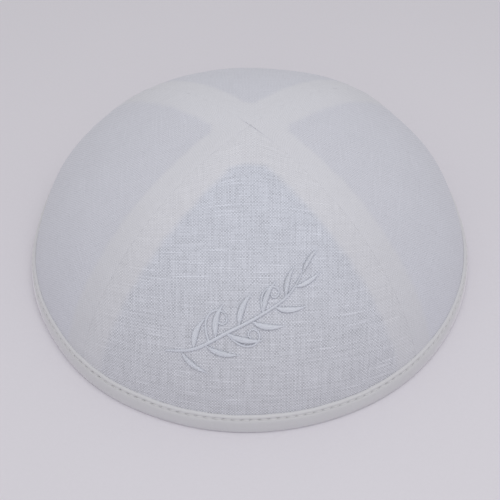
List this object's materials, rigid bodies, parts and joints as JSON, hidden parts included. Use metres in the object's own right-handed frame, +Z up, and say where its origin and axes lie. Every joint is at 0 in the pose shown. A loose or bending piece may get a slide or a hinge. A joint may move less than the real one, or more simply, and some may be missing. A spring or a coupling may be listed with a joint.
{
  "type": "kippah skullcap",
  "caption": "Shallow domed skullcap of curved linen panels sewn along seams from rim to crown, open below for the head, its rim bound with a folded strip of smooth trim.",
  "frame": {"origin": "centre of the rim, on the surface that the cap rests on", "axes": "+Z up through the top of the crown, -Y towards the front panel, +X to the wearer's left as seen from the front"},
  "size_m": [0.17, 0.17, 0.0646],
  "materials": {
    "linen": "matte, plain-woven, off-white",
    "binding": "smooth satin, off-white"
  },
  "bodies": {
    "root": {"panel_front": "linen", "panel_right": "linen", "panel_back": "linen", "panel_left": "linen", "rim_binding": "binding"}
  },
  "joints": []
}
